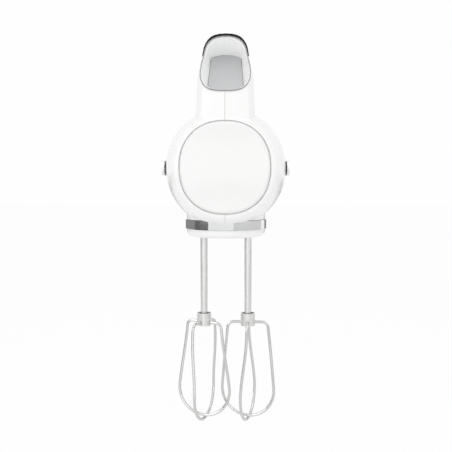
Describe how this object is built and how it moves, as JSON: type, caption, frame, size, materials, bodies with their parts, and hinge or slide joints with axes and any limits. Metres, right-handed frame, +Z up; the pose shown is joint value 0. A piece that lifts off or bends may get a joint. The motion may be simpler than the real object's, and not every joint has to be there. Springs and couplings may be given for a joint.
{
  "type": "hand mixer",
  "caption": "Hand mixer with a barrel body, a closed loop handle with a scooped front, a bright band round its base and two wire whisk beaters driven by a worm.",
  "frame": {"origin": "middle of the grip, where a hand holds it", "axes": "+Z up along the beaters, -Y towards the nose disc, +X to the right as seen from the nose looking to +Y"},
  "size_m": [0.1068, 0.1974, 0.3329],
  "materials": {
    "shell": "smooth satin gloss",
    "disc": "smooth gloss",
    "bright_trim": "polished",
    "liner": "satin",
    "gloss_black": "high gloss",
    "soft_pad": "matt",
    "gland": "matt",
    "screw_steel": "satin",
    "paddle": "satin",
    "ground_steel": "ground",
    "acetal": "satin",
    "spring_steel": "drawn",
    "switch_black": "matt",
    "board": "satin lacquer",
    "laminated_steel": "laminated",
    "copper_wire": "enamelled",
    "copper_bars": "turned",
    "carbon": "matt",
    "brass_sheet": "stamped",
    "sintered_bronze": "sintered",
    "die_cast": "die cast",
    "hard_steel": "ground",
    "gear_acetal": "satin",
    "beater_steel": "satin stainless"
  },
  "bodies": {
    "mixer": {"left_housing": "shell", "right_housing": "shell", "nose_disc": "disc", "base_cover": "shell", "base_band": "bright_trim", "scoop_rim": "bright_trim", "scoop_liner": "liner", "display_panel": "gloss_black", "heel_pad": "soft_pad", "side_badges": "bright_trim", "cord_gland": "gland", "housing_screws": "screw_steel", "paddle_pin": "ground_steel", "yoke_spring": "spring_steel", "slider_switch": "switch_black", "turbo_switch": "switch_black", "control_board": "board", "display_module": "switch_black", "stator_core": "laminated_steel", "field_coils": "copper_wire", "carbon_brushes": "carbon", "brush_holders": "brass_sheet", "motor_bearings": "sintered_bronze", "motor_bracket": "die_cast", "gear_frame": "die_cast", "frame_cap": "die_cast", "frame_screws": "screw_steel", "spindle_bushes": "sintered_bronze"},
    "motor": {"armature_shaft": "ground_steel", "armature_core": "laminated_steel", "armature_windings": "copper_wire", "commutator": "copper_bars", "cooling_fan": "acetal", "drive_worm": "hard_steel"},
    "left_drive": {"left_gear": "gear_acetal", "left_spindle": "ground_steel"},
    "right_drive": {"right_gear": "gear_acetal", "right_spindle": "ground_steel"},
    "left_ejector": {"left_eject_pin": "acetal"},
    "right_ejector": {"right_eject_pin": "acetal"},
    "left_beater": {"left_beater_shaft": "beater_steel", "left_beater_collar": "beater_steel", "left_beater_wires": "beater_steel"},
    "right_beater": {"right_beater_shaft": "beater_steel", "right_beater_collar": "beater_steel", "right_beater_wires": "beater_steel"},
    "paddle": {"eject_paddle": "paddle"},
    "yoke": {"eject_yoke": "acetal"},
    "slider": {"speed_slider": "bright_trim"},
    "turbo": {"turbo_button": "bright_trim"}
  },
  "joints": [
    {"name": "motor_spin", "type": "hinge", "parent": "mixer", "child": "motor", "pos_m": [0, -0.06, -0.1056], "axis": [0, 1, 0], "continuous": true},
    {"name": "left_spindle_spin", "type": "hinge", "parent": "mixer", "child": "left_drive", "pos_m": [-0.019, -0.06, -0.1056], "axis": [0, 0, 1], "continuous": true},
    {"name": "right_spindle_spin", "type": "hinge", "parent": "mixer", "child": "right_drive", "pos_m": [0.019, -0.06, -0.1056], "axis": [0, 0, 1], "continuous": true},
    {"name": "left_pin_drop", "type": "slide", "parent": "left_drive", "child": "left_ejector", "axis": [0, 0, -1], "range_m": [0, 0.006], "stiffness_N_per_m": 60, "springref_m": -0.025},
    {"name": "right_pin_drop", "type": "slide", "parent": "right_drive", "child": "right_ejector", "axis": [0, 0, -1], "range_m": [0, 0.006]},
    {"name": "left_beater_pull", "type": "slide", "parent": "left_ejector", "child": "left_beater", "axis": [0, 0, -1], "range_m": [0, 0.046]},
    {"name": "right_beater_pull", "type": "slide", "parent": "right_ejector", "child": "right_beater", "axis": [0, 0, -1], "range_m": [0, 0.046]},
    {"name": "paddle_press", "type": "hinge", "parent": "mixer", "child": "paddle", "pos_m": [0, -0.07863, -0.04779], "axis": [-1, 0, 0], "range_deg": [0, 16]},
    {"name": "yoke_drop", "type": "slide", "parent": "mixer", "child": "yoke", "axis": [0, 0, -1], "range_m": [0, 0.006], "deforming": ["yoke_spring"]},
    {"name": "speed_slide", "type": "slide", "parent": "mixer", "child": "slider", "axis": [0, 1, 0], "range_m": [0, 0.014]},
    {"name": "turbo_press", "type": "slide", "parent": "mixer", "child": "turbo", "axis": [0, 0, -1], "range_m": [0, 0.0016], "stiffness_N_per_m": 900, "springref_m": -0.001}
  ],
  "couplings": [
    {"joint": "left_spindle_spin", "follows": "motor_spin", "ratio": -0.071429},
    {"joint": "right_spindle_spin", "follows": "motor_spin", "ratio": 0.071429},
    {"joint": "right_pin_drop", "follows": "left_pin_drop", "ratio": 1},
    {"joint": "yoke_drop", "follows": "left_pin_drop", "ratio": 1},
    {"joint": "paddle_press", "follows": "left_pin_drop", "rad_per_m": 46.542}
  ]
}
